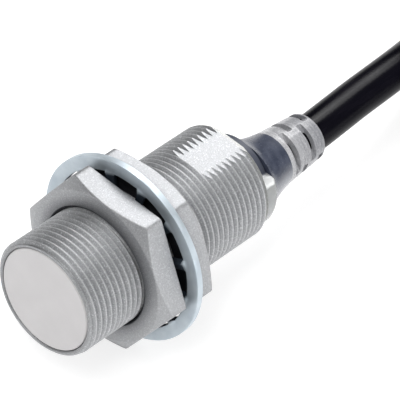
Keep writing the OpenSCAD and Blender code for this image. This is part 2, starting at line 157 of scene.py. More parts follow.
class Paint:
    """A Principled material that is built node by node.

    Its patterns use object coordinates, so they stay on their piece.
    """

    def __init__(self, name, colour, rough, metal=0.0, **sockets):
        self.mat = bpy.data.materials.new(name)
        self.mat.use_nodes = True
        self.tree = self.mat.node_tree
        self.shader = self.tree.nodes["Principled BSDF"]
        self.put(self.shader, "Base Color", (*colour, 1))
        self.put(self.shader, "Roughness", rough)
        self.put(self.shader, "Metallic", metal)
        for key, value in sockets.items():
            self.put(self.shader, key.replace("_", " "), value)
        self.place = self.node("ShaderNodeTexCoord").outputs["Object"]

    def node(self, kind, **sockets):
        made = self.tree.nodes.new(kind)
        for key, value in sockets.items():
            self.put(made, key, value)
        return made

    def put(self, node, socket, value):
        """Sets a socket, or links it if the value is another node's output."""
        target = node.inputs[socket]
        if isinstance(value, bpy.types.NodeSocket):
            self.tree.links.new(value, target)
        else:
            target.default_value = value

    def noise(self, size, detail=2.0, rough=0.5, stretch=(1, 1, 1)):
        """Noise whose spots are about this many millimetres."""
        place = self.node("ShaderNodeMapping", Vector=self.place, Scale=stretch)
        sizes = {"Scale": 1 / (size * MM), "Detail": detail, "Roughness": rough}
        return self.node("ShaderNodeTexNoise", Vector=place.outputs[0], **sizes).outputs[0]

    def cells(self, size):
        """A random grey for each cell of about this many millimetres."""
        node = self.node("ShaderNodeTexVoronoi", Vector=self.place, Scale=1 / (size * MM))
        return self.node("ShaderNodeSeparateColor", Color=node.outputs["Color"]).outputs[0]

    def ramp(self, value, low, high, to_low=0.0, to_high=1.0):
        node = self.node("ShaderNodeMapRange", Value=value)
        for key, number in (("From Min", low), ("From Max", high), ("To Min", to_low), ("To Max", to_high)):
            self.put(node, key, number)
        return node.outputs[0]

    def mix(self, factor, a, b):
        """Colour a where the factor is 0 and colour b where it is 1."""
        node = self.tree.nodes.new("ShaderNodeMix")
        node.data_type = "RGBA"
        sockets = {s.identifier: s for s in node.inputs}
        for key, value in (("Factor_Float", factor), ("A_Color", a), ("B_Color", b)):
            if isinstance(value, bpy.types.NodeSocket):
                self.tree.links.new(value, sockets[key])
            else:
                sockets[key].default_value = value if key == "Factor_Float" else (*value, 1)
        return next(s for s in node.outputs if s.identifier == "Result_Color")

    def axis(self, name):
        """One coordinate of the place on the piece, in millimetres."""
        return self.scaled(self.node("ShaderNodeSeparateXYZ", Vector=self.place).outputs[name])

    def times(self, a, b):
        """The product of two values."""
        node = self.node("ShaderNodeMath")
        node.operation = "MULTIPLY"
        self.put(node, 0, a)
        self.put(node, 1, b)
        return node.outputs[0]

    def scaled(self, value):
        return self.times(value, 1 / MM)

    def radius(self):
        """Distance from the sensor's axis, in millimetres."""
        flat = self.node("ShaderNodeVectorMath")
        flat.operation = "MULTIPLY"
        self.put(flat, 0, self.place)
        flat.inputs[1].default_value = (0, 1, 1)
        size = self.node("ShaderNodeVectorMath")
        size.operation = "LENGTH"
        self.put(size, 0, flat.outputs[0])
        return self.scaled(size.outputs["Value"])

    def painted_shade(self, reach):
        """How much shade to paint: 0 in the open and 1 in a deep gap, from what stands within this many
        millimetres.
        """
        node = self.node("ShaderNodeAmbientOcclusion", Distance=reach * MM)
        node.samples = 8
        return self.ramp(node.outputs["AO"], 0.45, 0.9, 1, 0)

    def colour(self, value):
        self.put(self.shader, "Base Color", value)
        return self

    def rough(self, value):
        self.put(self.shader, "Roughness", value)
        return self

    def bump(self, height, depth, strength=1.0):
        """Relief of this depth in millimetres."""
        node = self.node("ShaderNodeBump", Height=height, Strength=strength, Distance=depth * MM)
        self.put(self.shader, "Normal", node.outputs[0])
        return self


def coated_metal(name, thread):
    """Blasted, coated metal: matte grey with a fine grain and light flecks that are partly painted glints; on
    the thread, a painted highlight on the crests and painted shade in the roots; on the nuts, painted shade
    in their gaps.
    """
    p = Paint(name, (0.4, 0.4, 0.41), 0.5, 0.75)
    grain = p.noise(0.2 if thread else 0.16, 3.0, 0.7)
    glint_specks = p.cells(0.14)
    cloud = p.noise(4.0, 3.0)
    base = p.mix(p.ramp(grain, 0.35, 0.65), (0.33, 0.336, 0.35), (0.48, 0.487, 0.5))
    # Light flecks: partly grain, partly painted glints.
    base = p.mix(p.ramp(glint_specks, 0.8, 0.94, 0, 0.55 if thread else 0.3), base, (0.8, 0.81, 0.83))
    base = p.mix(p.ramp(cloud, 0.35, 0.7, 0, 0.25), base, (0.385, 0.39, 0.4))
    if thread:
        behind = p.ramp(p.axis("X"), FLAT_START - 0.1, FLAT_START)
        on_top = p.ramp(p.axis("Z"), FLAT_Z - 0.05, FLAT_Z - 0.01)
        milled = p.times(behind, on_top)
        # Painted highlight: a lighter colour on the thread's crests.
        crest_highlight = p.ramp(p.radius(), THREAD_R - 0.12, THREAD_R - 0.01, 0, 0.35)
        base = p.mix(crest_highlight, base, (0.64, 0.645, 0.655))
        # Painted shade: darker in the thread's roots, except on the milled flat.
        deep = p.ramp(p.radius(), THREAD_R - 0.55, THREAD_R - 0.3, 0.35, 0)
        base = p.mix(p.times(deep, p.ramp(milled, 0, 1, 1, 0)), base, (0.2, 0.202, 0.206))
        base = p.mix(p.times(milled, 0.2), base, (0.5, 0.507, 0.52))
        rim = p.ramp(p.axis("X"), SLEEVE_END - 0.55, SLEEVE_END - 0.3, 0, 0.3)
        base = p.mix(rim, base, (0.5, 0.49, 0.42))
    else:
        # Painted shade: near black where parts stand close, in the nut's gaps and recesses.
        base = p.mix(p.painted_shade(4.0), base, (0.03, 0.032, 0.04))
    p.colour(base)
    p.rough(p.ramp(grain, 0.3, 0.7, 0.4, 0.58))
    return p.bump(grain, 0.06 if thread else 0.045, 0.9).mat


def zinc_steel():
    """Blue-white zinc plate with a faint mottled sheen, and painted shade in its gaps and on the teeth inside
    the ring.
    """
    p = Paint("zinc_steel", (0.55, 0.63, 0.7), 0.4, 0.55)
    cloud = p.noise(2.5, 3.0)
    fine = p.noise(0.3, 3.0)
    base = p.mix(p.ramp(cloud, 0.3, 0.7), (0.5, 0.57, 0.63), (0.6, 0.67, 0.72))
    # Painted shade: darker where parts stand close, such as in the tooth openings.
    base = p.mix(p.painted_shade(1.2), base, (0.03, 0.045, 0.065))
    # Painted shade: near black on the teeth inside the ring, in the nuts' shade.
    inside = p.ramp(p.radius(), 12.2, 12.6, 0.95, 0)
    p.colour(p.mix(inside, base, (0.015, 0.025, 0.04)))
    p.rough(p.ramp(fine, 0.3, 0.7, 0.38, 0.5))
    return p.bump(fine, 0.006, 0.5).mat


def moulded(name, colour, rough=0.45, grain_size=0.3, depth=0.01, **sockets):
    """Moulded plastic or rubber with a fine surface grain and slight cloudiness."""
    p = Paint(name, colour, rough, **sockets)
    grain = p.noise(grain_size, 3.0, 0.6)
    cloud = p.noise(grain_size * 20, 2.0)
    dark = [c * 0.975 for c in colour]
    light = [min(c * 1.02, 1) for c in colour]
    p.colour(p.mix(p.ramp(cloud, 0.3, 0.7), dark, light))
    p.rough(p.ramp(grain, 0.3, 0.7, max(rough - 0.06, 0.02), rough + 0.06))
    return p.bump(grain, depth).mat


def bare_metal(name, colour, rough=0.25, size=0.2, stretch=(1, 1, 1)):
    """Drawn, plated or tinned metal with fine lines."""
    p = Paint(name, colour, rough, 1.0)
    lines = p.noise(size, 2.0, 0.5, stretch)
    p.colour(p.mix(p.ramp(lines, 0.3, 0.7), [c * 0.85 for c in colour], colour))
    p.rough(p.ramp(lines, 0.3, 0.7, rough, rough + 0.15))
    return p.bump(lines, 0.01).mat


def clear_flange():
    """The end cap's clear plastic: pale ears, and a core painted dark, less clear and rougher, for the dark
    dome seen through it.
    """
    p = Paint("clear_flange", (0.9, 0.94, 0.93), 0.12, IOR=1.48)
    cloud = p.noise(1.2, 3.0)
    fine = p.noise(0.2, 2.0)
    # Painted darkness: the core stands in for the dark dome seen through the clear plastic.
    core = p.ramp(p.radius(), 6.2, 6.7, 1, 0)
    p.put(p.shader, "Transmission Weight", p.ramp(core, 0, 1, 0.6, 0.1))
    base = p.mix(p.ramp(cloud, 0.3, 0.7, 0, 0.5), (0.9, 0.92, 0.92), (0.72, 0.74, 0.74))
    p.colour(p.mix(core, base, (0.06, 0.068, 0.095)))
    p.rough(p.ramp(core, 0, 1, 0.15, 0.5))
    return p.bump(fine, 0.006).mat


def milky_boot():
    """Milky soft plastic, with painted shade that makes it a little darker in its slots, where the black
    cable is close.
    """
    p = Paint("clear_boot", (0.6, 0.61, 0.63), 0.3, IOR=1.45, Coat_Weight=0.15)
    cloud = p.noise(1.2, 3.0, 0.5, (3, 0.4, 0.4))
    fine = p.noise(0.3, 2.0)
    near_end = p.ramp(p.axis("X"), BOOT_X, BOOT_END, 0, 0.55)
    base = p.mix(p.ramp(cloud, 0.35, 0.65), (0.38, 0.383, 0.4), (0.58, 0.58, 0.595))
    base = p.mix(near_end, base, (0.17, 0.175, 0.2))
    # Painted shade: a little darker in the slots, where the black cable is close.
    p.colour(p.mix(p.ramp(p.painted_shade(1.0), 0, 1, 0, 0.12), base, (0.16, 0.165, 0.18)))
    p.put(p.shader, "Transmission Weight", 0.12)
    p.rough(p.ramp(fine, 0.3, 0.7, 0.22, 0.3))
    return p.bump(cloud, 0.03, 0.5).mat


def dome_dark_skirt():
    """The boot's skirt: nearly opaque plastic painted dark for the dark dome seen through it, and paler
    towards the bottom.
    """
    p = Paint("clear_skirt", (0.08, 0.09, 0.13), 0.2, IOR=1.4)
    fine = p.noise(0.2, 2.0)
    under = p.ramp(p.axis("Z"), -2.0, 1.8, 1, 0)
    cloud = p.noise(1.5, 3.0)
    # Painted darkness for the dark dome seen through the skirt; paler towards the bottom.
    dark = p.mix(p.ramp(cloud, 0.3, 0.7), (0.045, 0.053, 0.08), (0.09, 0.1, 0.135))
    p.colour(p.mix(under, dark, (0.5, 0.51, 0.54)))
    p.put(p.shader, "Transmission Weight", 0.08)
    p.rough(p.ramp(fine, 0.3, 0.7, 0.2, 0.28))
    return p.bump(fine, 0.006).mat


def board_green():
    """Solder mask with copper tracks that show through it."""
    p = Paint("board", (0.02, 0.2, 0.08), 0.35)
    brick = p.node("ShaderNodeTexBrick", Vector=p.place, Scale=700.0)
    brick.inputs["Mortar Size"].default_value = 0.06
    tracks = p.ramp(brick.outputs["Fac"], 0, 1, 0, 0.6)
    p.colour(p.mix(tracks, (0.015, 0.16, 0.06), (0.06, 0.36, 0.14)))
    return p.bump(brick.outputs["Fac"], 0.02).mat


def winding_copper():
    """Enamelled wire wound in fine turns."""
    p = Paint("copper_wire", (0.65, 0.26, 0.1), 0.3, 1.0)
    wave = p.node("ShaderNodeTexWave", Vector=p.place, Scale=1200.0, Distortion=0.3)
    wave.bands_direction = "X"
    p.colour(p.mix(wave.outputs["Fac"], (0.4, 0.13, 0.05), (0.75, 0.32, 0.13)))
    return p.bump(wave.outputs["Fac"], 0.05).mat


def cable_black():
    """Smooth oil-resistant jacket with a faint matt bloom along its length."""
    p = Paint("cable_jacket", (0.003, 0.003, 0.005), 0.26, Specular_IOR_Level=0.07)
    fine = p.noise(0.12, 2.0)
    long = p.noise(2.0, 3.0, 0.5, (0.2, 1, 1))
    p.colour(p.mix(p.ramp(long, 0.3, 0.7), (0.002, 0.002, 0.004), (0.006, 0.0055, 0.009)))
    p.rough(p.ramp(long, 0.3, 0.7, 0.22, 0.3))
    return p.bump(fine, 0.008, 0.5).mat


MATERIALS = {
    "coated_brass": coated_metal("coated_brass", True),
    "coated_nut": coated_metal("coated_nut", False),
    "cap_plastic": moulded("cap_plastic", (0.66, 0.645, 0.65), 0.5, 0.18, 0.008),
    "ferrite": moulded("ferrite", (0.05, 0.05, 0.055), 0.6, 0.15, 0.02),
    "bobbin_plastic": moulded("bobbin_plastic", (0.72, 0.66, 0.48), 0.4),
    "copper_wire": winding_copper(),
    "holder_plastic": moulded("holder_plastic", (0.06, 0.06, 0.07), 0.5),
    "copper_foil": bare_metal("copper_foil", (0.78, 0.42, 0.25), 0.3, 0.3, (0.1, 1, 1)),
    "resin": moulded("resin", (0.5, 0.4, 0.22), 0.35, 0.5, 0.02),
    "board": board_green(),
    "chip_plastic": moulded("chip_plastic", (0.03, 0.03, 0.032), 0.55, 0.12, 0.012),
    "diode_glass": moulded("diode_glass", (0.42, 0.1, 0.04), 0.12, 0.4, 0.004),
    "ceramic": moulded("ceramic", (0.55, 0.42, 0.26), 0.4, 0.1, 0.01),
    "led_resin": moulded("led_resin", (0.8, 0.45, 0.08), 0.15, 0.4, 0.004),
    "solder": bare_metal("solder", (0.72, 0.73, 0.75), 0.2, 0.3),
    "black_rubber": moulded("black_rubber", (0.02, 0.02, 0.02), 0.6, 0.2, 0.01),
    "clear_plastic": clear_flange(),
    "dark_plastic": moulded("dark_plastic", (0.06, 0.07, 0.105), 0.2, 1.2, 0.02, Coat_Weight=0.5),
    "clear_boot": milky_boot(),
    "clear_skirt": dome_dark_skirt(),
    "brown_insulation": moulded("brown_insulation", (0.14, 0.055, 0.025), 0.4, 0.2, 0.006),
    "blue_insulation": moulded("blue_insulation", (0.02, 0.07, 0.35), 0.4, 0.2, 0.006),
    "black_insulation": moulded("black_insulation", (0.015, 0.015, 0.017), 0.4, 0.2, 0.006),
    "cable_jacket": cable_black(),
    "tie_plastic": moulded("tie_plastic", (0.02, 0.02, 0.021), 0.42, 0.25, 0.008),
    "zinc_steel": zinc_steel(),
    "tinned_copper": bare_metal("tinned_copper", (0.78, 0.77, 0.75), 0.25, 0.08),
}


# ---------------------------------------------------------------- mesh tools


def piece(name, points, faces, body, material, slot, replaces=(), sharp=50, weighted=True):
    """One mesh piece from millimetre points: merged, turned outward, shaded, painted and put on its body."""
    bm = bmesh.new()
    made = [bm.verts.new(Vector(p) * MM) for p in points]
    for face in faces:
        corners = list(dict.fromkeys(face))
        if len(corners) > 2:
            bm.faces.new([made[i] for i in corners])
    bmesh.ops.remove_doubles(bm, verts=bm.verts, dist=1e-7)
    bmesh.ops.dissolve_degenerate(bm, dist=1e-7, edges=bm.edges)
    bmesh.ops.recalc_face_normals(bm, faces=bm.faces)
    mesh = bpy.data.meshes.new(name)
    bm.to_mesh(mesh)
    bm.free()
    obj = bpy.data.objects.new(name, mesh)
    bpy.context.scene.collection.objects.link(obj)
    mesh.materials.append(MATERIALS[material])
    shade(obj, sharp)
    if weighted:
        obj.modifiers.new("even_normals", "WEIGHTED_NORMAL").keep_sharp = True
    if body:
        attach(obj, body)
        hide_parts(*replaces)
    return obj


def shade(obj, sharp):
    obj.data.polygons.foreach_set("use_smooth", [True] * len(obj.data.polygons))
    obj.data.set_sharp_from_angle(angle=math.radians(sharp))


def soften(outline, radius, steps=3):
    """A closed outline with its corners rounded, as far as each corner's sides allow."""
    result = []
    for i, here in enumerate(outline):
        if here[1] == 0:  # on the axis
            result.append(here)
            continue
        before, after = Vector(outline[i - 1]), Vector(outline[(i + 1) % len(outline)])
        here = Vector(here)
        room = 0.45 * min((before - here).length, (after - here).length)
        a = here + (before - here).normalized() * min(radius, room)
        b = here + (after - here).normalized() * min(radius, room)
        for k in range(steps + 1):
            t = k / steps
            result.append(tuple(a * (1 - t) ** 2 + here * 2 * t * (1 - t) + b * t * t))
    return result


def loops(rings, closed_rings=True, closed_way=True):
    """Points and quads of a skin through rings with equal counts."""
    m, n = len(rings[0]), len(rings)
    points = [p for ring in rings for p in ring]
    faces = []
    for i in range(n if closed_way else n - 1):
        for j in range(m if closed_rings else m - 1):
            k = (i + 1) % n
            faces.append((i * m + j, i * m + (j + 1) % m, k * m + (j + 1) % m, k * m + j))
    return points, faces


def around(x, r, angle, at=(0, 0)):
    """A point at a radius and angle (from +Y towards +Z) round an axis along X."""
    return (x, at[0] + r * math.cos(angle), at[1] + r * math.sin(angle))


def revolved(outline, at=(0, 0), n=96):
    """Skin of a closed (x, radius) outline turned round an axis along X."""
    return loops([[around(x, r, math.tau * i / n, at) for x, r in outline] for i in range(n)])


def carve(obj, tool, how="DIFFERENCE"):
    """Cuts one mesh with another and removes the tool."""
    obj.modifiers.clear()
    mod = obj.modifiers.new("carve", "BOOLEAN")
    mod.operation, mod.object, mod.solver = how, tool, "EXACT"
    bpy.context.view_layer.update()
    mesh = bpy.data.meshes.new_from_object(obj.evaluated_get(bpy.context.evaluated_depsgraph_get()))
    obj.modifiers.clear()
    obj.data = mesh
    bpy.data.objects.remove(tool)


def box_tool(low, high, turn=None, at=(0, 0, 0), soft=0.0):
    """A box to cut with, turned about X round a point, with its edges rounded."""
    bm = bmesh.new()
    bmesh.ops.create_cube(bm, size=1)
    low, high = Vector(low), Vector(high)
    for v in bm.verts:
        v.co = Vector(low[i] + (high[i] - low[i]) * (v.co[i] + 0.5) for i in range(3))
    if soft:
        bmesh.ops.bevel(bm, geom=bm.edges, offset=soft, segments=3, affect="EDGES", profile=0.5)
    move = Matrix.Translation(Vector(at)) @ Matrix.Rotation(turn or 0, 4, "X")
    bmesh.ops.transform(bm, matrix=Matrix.Scale(MM, 4) @ move, verts=bm.verts)
    mesh = bpy.data.meshes.new("tool")
    bm.to_mesh(mesh)
    bm.free()
    obj = bpy.data.objects.new("tool", mesh)
    bpy.context.scene.collection.objects.link(obj)
    return obj


def sweep(path, radius, sides=12):
    """A round tube with closed ends along points in millimetres."""
    rings = []
    up = Vector((0, 0, 1))
    for i, p in enumerate(path):
        way = (path[min(i + 1, len(path) - 1)] - path[max(i - 1, 0)]).normalized()
        side = up.cross(way).normalized()
        top = way.cross(side)
        rings.append(
            [
                p + radius * (math.cos(math.tau * k / sides) * side + math.sin(math.tau * k / sides) * top)
                for k in range(sides)
            ]
        )
    points, faces = loops(rings, closed_way=False)
    faces.append(tuple(range(sides)))
    faces.append(tuple(range(len(points) - sides, len(points))))
    return points, faces


def flow(points, steps):
    """The smooth curve that part.scad sweeps through points, with this many steps between neighbours."""
    result = []
    for i in range(len(points) - 1):
        a, b, c, d = (points[min(max(i + k, 0), len(points) - 1)] for k in (-1, 0, 1, 2))
        for k in range(steps):
            t = k / steps
            square = 2 * a - 5 * b + 4 * c - d
            cube = 3 * b - a - 3 * c + d
            result.append(0.5 * (2 * b + (c - a) * t + square * t**2 + cube * t**3))
    return result + [points[-1]]


# ---------------------------------------------------------------- the cable


LEAD = [
    (CABLE_X, EXIT_Y, EXIT_Z),
    (BOOT_END - 4, EXIT_Y, EXIT_Z),
    (BOOT_END + 2, EXIT_Y, EXIT_Z),
    (66, -0.6, -0.75),
    (77, 0, -1),
    (87, 2, -3),
    (97, 6, -7),
    (107, 10, -10),
    (HANK_A - 4, HANK_Y + ROW_OUT, LAYER_Z[0]),
]
TAIL_Y = HANK_Y - ROW_OUT
TAIL = [(HANK_A - 6, TAIL_Y, LAYER_Z[1] - 1), (HANK_A - 13, TAIL_Y, LAYER_Z[1] - 3.2)]
TAIL_END = (91, TAIL_Y, FLOOR_Z + CABLE_R)
STRAIGHT_STEPS = 4
ARC_STEPS = 7


def ease(t):
    """A smooth step from 0 to 1, and how fast it rises."""
    return t * t * (3 - 2 * t), 6 * t * (1 - t)


def straight(side, r0, r1, z0, z1, last=False):
    """Knots (place, direction) of a straight run: side 1 goes away from the sensor at +Y, -1 comes back."""
    knots = []
    length = HANK_B - HANK_A
    for k in range(STRAIGHT_STEPS + (1 if last else 0)):
        t = k / STRAIGHT_STEPS
        part, rise = ease(t)
        x = HANK_A + length * (t if side > 0 else 1 - t)
        place = Vector((x, HANK_Y + side * (r0 + (r1 - r0) * part), z0 + (z1 - z0) * part))
        way = Vector((side * length, side * (r1 - r0) * rise, (z1 - z0) * rise))
        knots.append((place, way.normalized()))
    return knots


def fold(side, r, z0, z1):
    """Knots (place, direction) of one fold: side 1 is the far end, and -1 the end near the sensor."""
    knots = []
    for k in range(ARC_STEPS):
        t = k / ARC_STEPS
        part, rise = ease(t)
        turn = math.pi * t
        x = (HANK_B if side > 0 else HANK_A) + side * r * math.sin(turn)
        place = Vector((x, HANK_Y + side * r * math.cos(turn), z0 + (z1 - z0) * part))
        reach = side * r * math.pi
        way = Vector((reach * math.cos(turn), -reach * math.sin(turn), (z1 - z0) * rise))
        knots.append((place, way.normalized()))
    return knots


def hank_route():
    """The nine laps of the hank: out along the floor, up the inner row, across, and down the outer row."""
    z = LAYER_Z
    out, inner = ROW_OUT, ROW_IN
    route = straight(1, out, out, z[0], z[0]) + fold(1, out, z[0], z[0])
    route += straight(-1, out, inner, z[0], z[0]) + fold(-1, inner, z[0], z[0])
    for k in range(1, 5):
        route += straight(1, inner, inner, z[k - 1], z[k - 1]) + fold(1, inner, z[k - 1], z[k])
        route += straight(-1, inner, inner, z[k], z[k]) + fold(-1, inner, z[k], z[k])
    route += straight(1, inner, out, z[4], z[4]) + fold(1, out, z[4], z[4])
    for k in (4, 3, 2):
        route += straight(-1, out, out, z[k], z[k]) + fold(-1, out, z[k], z[k - 1])
        route += straight(1, out, out, z[k - 1], z[k - 1]) + fold(1, out, z[k - 1], z[k - 1])
    return route + straight(-1, out, out, z[1], z[1], last=True)


def with_ways(points):
    """Knots of a free run, each heading from the point before it to the point after it."""
    last = len(points) - 1
    ways = [points[min(i + 1, last)] - points[max(i - 1, 0)] for i in range(len(points))]
    return [(p, way.normalized()) for p, way in zip(points, ways)]


def make_cable():
    """The whole 2 m cable as one curve, from inside the boot to the cut end of its jacket."""
    lead = with_ways(flow([Vector(p) for p in LEAD], 2))
    knots = lead + hank_route() + with_ways([Vector(p) for p in (*TAIL, TAIL_END)])
    data = bpy.data.curves.new("cable", "CURVE")
    data.dimensions = "3D"
    data.resolution_u = 6
    data.bevel_depth = CABLE_R * MM
    data.bevel_resolution = 8
    data.use_fill_caps = True
    line = data.splines.new("BEZIER")
    line.bezier_points.add(len(knots) - 1)
    for i, (knot, (place, way)) in enumerate(zip(line.bezier_points, knots)):
        back = (place - knots[max(i - 1, 0)][0]).length / 3
        ahead = (knots[min(i + 1, len(knots) - 1)][0] - place).length / 3
        knot.handle_left_type = knot.handle_right_type = "FREE"
        knot.co = place * MM
        knot.handle_left = (place - way * back) * MM
        knot.handle_right = (place + way * ahead) * MM
    cable = bpy.data.objects.new("cable", data)
    bpy.context.scene.collection.objects.link(cable)
    data.materials.append(MATERIALS["cable_jacket"])
    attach(cable, BODY)
    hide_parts("cable_lead", "cable_hank", "cable_tail")
    return cable


# ---------------------------------------------------------------- threaded sleeve and face


PITCH = 1.0
THREAD_COLUMNS = 120
# One turn of the coated thread: how far along the pitch, and how far below the crest.
THREAD_SHAPE = [
    (0.0, 0.0),
    (0.06, 0.008),
    (0.12, 0.06),
    (0.33, 0.44),
    (0.41, 0.53),
    (0.5, 0.555),
    (0.59, 0.53),
    (0.67, 0.44),
    (0.88, 0.06),
    (0.94, 0.008),
]
FACE_BORE_R = CAP_R + 0.08
FACE_BORE_LEN = 8
MAIN_BORE_R = 7.4
CHAMFER = 0.5


def thread_radius(x):
    """Radius of the thread at a distance along it."""
    t = (x / PITCH) % 1
    shape = [*THREAD_SHAPE, (1.0, 0.0)]
    for (a, low), (b, high) in zip(shape, shape[1:]):
        if t <= b:
            return THREAD_R - low - (high - low) * (t - a) / (b - a)
    return THREAD_R


def thread_rod(x0, x1):
    """Points and faces of a rod with a right-hand helical thread, whose rows of points climb with it."""
    m = len(THREAD_SHAPE)
    rows = (int((x1 - x0) / PITCH) + 3) * m
    points = []
    for i in range(THREAD_COLUMNS):
        climb = PITCH * i / THREAD_COLUMNS
        for j in range(rows):
            x = x0 + (j // m - 1 + THREAD_SHAPE[j % m][0]) * PITCH + climb
            x = min(max(x, x0), x1)
            points.append(around(x, thread_radius(x - climb - x0), math.tau * i / THREAD_COLUMNS))

    def at(i, j):
        return i * rows + j if i < THREAD_COLUMNS else min(j + m, rows - 1)

    faces = []
    for i in range(THREAD_COLUMNS):
        for j in range(rows - 1):
            faces.append((at(i, j), at(i, j + 1), at(i + 1, j + 1), at(i + 1, j)))
    faces.append(tuple(i * rows for i in range(THREAD_COLUMNS)))
    faces.append(tuple(i * rows + rows - 1 for i in range(THREAD_COLUMNS)))
    return points, faces


def make_sleeve():
    """The threaded sleeve, turned down to its chamfers and bores, with the milled flat at the rear."""
    sleeve = piece("sleeve", *thread_rod(-1.5, SLEEVE_END + 1.5), None, "coated_brass", None, weighted=False)
    over = 1.2
    blank = [
        (0, FACE_BORE_R + 0.14),
        (0, THREAD_R - CHAMFER),
        (over, THREAD_R - CHAMFER + over),
        (SLEEVE_END - over, THREAD_R - CHAMFER + over),
        (SLEEVE_END, THREAD_R - CHAMFER),
        (SLEEVE_END, MAIN_BORE_R),
        (FACE_BORE_LEN, MAIN_BORE_R),
        (FACE_BORE_LEN, FACE_BORE_R),
        (0.14, FACE_BORE_R),
    ]
    tool = piece("tool", *revolved(blank, n=THREAD_COLUMNS), None, "coated_brass", None, weighted=False)
    carve(sleeve, tool, "INTERSECT")
    carve(sleeve, box_tool((FLAT_START, -10, FLAT_Z), (SLEEVE_END + 1, 10, 12)))
    shade(sleeve, 44)
    bm = bmesh.new()
    bm.from_mesh(sleeve.data)
    for edge in bm.edges:
        flat = [
            abs(f.normal.z) > 0.9999 and abs(f.calc_center_median().z - FLAT_Z * MM) < 1e-6
            for f in edge.link_faces
        ]
        if any(flat) and not all(flat):
            edge.smooth = False
    bm.to_mesh(sleeve.data)
    bm.free()
    sleeve.modifiers.new("even_normals", "WEIGHTED_NORMAL").keep_sharp = True
    sleeve.data.materials.clear()
    sleeve.data.materials.append(MATERIALS["coated_brass"])
    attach(sleeve, BODY)
    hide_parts("housing")


def make_face():
    """The face cap, with a rounded edge."""
    low, high = span("sensing_cap")
    wall, skirt = 1.5, MAIN_BORE_R - 0.1
    outline = [(low.x, 0), (low.x, CAP_R), (high.x, CAP_R), (high.x, skirt), (wall, skirt), (wall, 0)]
    shape = revolved(soften(outline, 0.38, 5))
    piece("face_cap", *shape, BODY, "cap_plastic", "cap_plastic", ["sensing_cap"])


# ---------------------------------------------------------------- nuts and washer


def hex_radius(angle, apothem, corner):
    """Distance from the axis to a hexagon with rounded corners and flats at the top and bottom."""
    half = math.pi / 6
    t = abs((angle + math.pi / 2 + half) % (2 * half) - half)
    reach = (apothem - corner) / math.cos(half)
    if t <= math.atan2(reach * math.sin(half), apothem):
        return apothem / math.cos(t)
    d = half - t
    return reach * math.cos(d) + math.sqrt(corner**2 - (reach * math.sin(d)) ** 2)


def make_nut(name, node, body, chamfer_side):
    """A hexagon nut with one chamfered face, countersunk bores and slightly rounded corners."""
    low, high = span(node)
    apothem = high.z
    bore = THREAD_R + 0.05
    sink, circle, corner = 0.32, apothem - 0.12, 0.5
    length = high.x - low.x
    rings = []
    count = 180
    for i in range(count):
        angle = math.tau * i / count
        r = hex_radius(angle, apothem, corner)
        lift = (r - circle) * math.tan(math.radians(30))
        outline = [
            (0, bore + sink),
            (0, circle),
            (lift, r),
            (length, r),
            (length, bore + sink),
            (length - sink, bore),
            (sink, bore),
        ]
        ring = soften(outline, 0.14)
        rings.append([around(low.x + s if chamfer_side < 0 else high.x - s, r1, angle) for s, r1 in ring])
    piece(name, *loops(rings), body, "coated_nut", "coated_brass", [node])


def make_washer():
    """The toothed lock washer: a plated ring whose inner teeth twist out of its plane."""
    low, high = span("toothed_washer")
    outer = high.y
    plate = 1.0
    mid = high.x - plate / 2
    count, first, twist, shift, half_width = 13, math.radians(99), math.radians(24), 0.4, 0.55
    inner, tip, fillet = 12.45, THREAD_R + 0.35, 0.5
    root = [tip, tip + 0.5, tip + 1.2, tip + 1.8]
    pitch = math.tau / count
    edge = math.asin(half_width / inner)

    def bend(r, t, fade=1.0):
        """How far a tooth point moves along the axis."""
        k = min(max((inner + 0.35 - r) / 1.3, 0), 1)
        k = k * k * (3 - 2 * k) * fade
        return t * math.sin(twist * k) - shift * k

    columns = []
    for i in range(count):
        middle = first + i * pitch
        for k in range(7):  # across the tooth
            t = half_width * (k / 3 - 1)
            side = t / inner
            rows = []
            for r in [*root, inner - fillet, inner - 0.3, inner, inner + 0.4]:
                x = mid + bend(r, t)
                c, s = math.cos(middle), math.sin(middle)
                rows.append((x, r * c - t * s, r * s + t * c))
            rows += [around(mid, r, middle + side) for r in (13.3, 14.1, outer)]
            columns.append(rows)
        gap = pitch - 2 * edge
        for k in range(1, 12):  # across the opening
            v = 0.5 - 0.5 * math.cos(math.pi * k / 12)
            angle = middle + edge + gap * v
            d = gap * inner * min(v, 1 - v)
            r0 = inner - fillet + math.sqrt(max(fillet**2 - max(fillet - d, 0) ** 2, 0))
            fade = max(1 - d / 0.9, 0) ** 2
            t = half_width if v < 0.5 else -half_width
            rows = [None] * 4
            for share in (0, 0.35, 0.65, 1):
                r = r0 + (inner + 0.4 - r0) * share
                rows.append(around(mid + bend(r, t, fade), r, angle))
            rows += [around(mid, r, angle) for r in (13.3, 14.1, outer)]
            columns.append(rows)
    points, index = [], {}
    for i, rows in enumerate(columns):
        for j, p in enumerate(rows):
            if p:
                index[i, j] = len(points)
                points.append(p)
    faces = []
    for i in range(len(columns)):
        k = (i + 1) % len(columns)
        for j in range(len(columns[0]) - 1):
            corners = [(i, j), (i, j + 1), (k, j + 1), (k, j)]
            if all(c in index for c in corners):
                faces.append(tuple(index[c] for c in corners))
    washer = piece(
        "toothed_ring", points, faces, "washer", "zinc_steel", "zinc_steel",
        ["toothed_washer"], weighted=False,
    )
    plating = washer.modifiers.new("thickness", "SOLIDIFY")
    plating.thickness = plate * MM
    plating.offset = 0
    plating.use_even_offset = True
    edges = washer.modifiers.new("edges", "BEVEL")
    edges.width = 0.13 * MM
    edges.segments = 2
    edges.limit_method = "ANGLE"
    edges.angle_limit = math.radians(50)
    washer.modifiers.new("even_normals", "WEIGHTED_NORMAL").keep_sharp = True


# ---------------------------------------------------------------- end cap, dome and boot


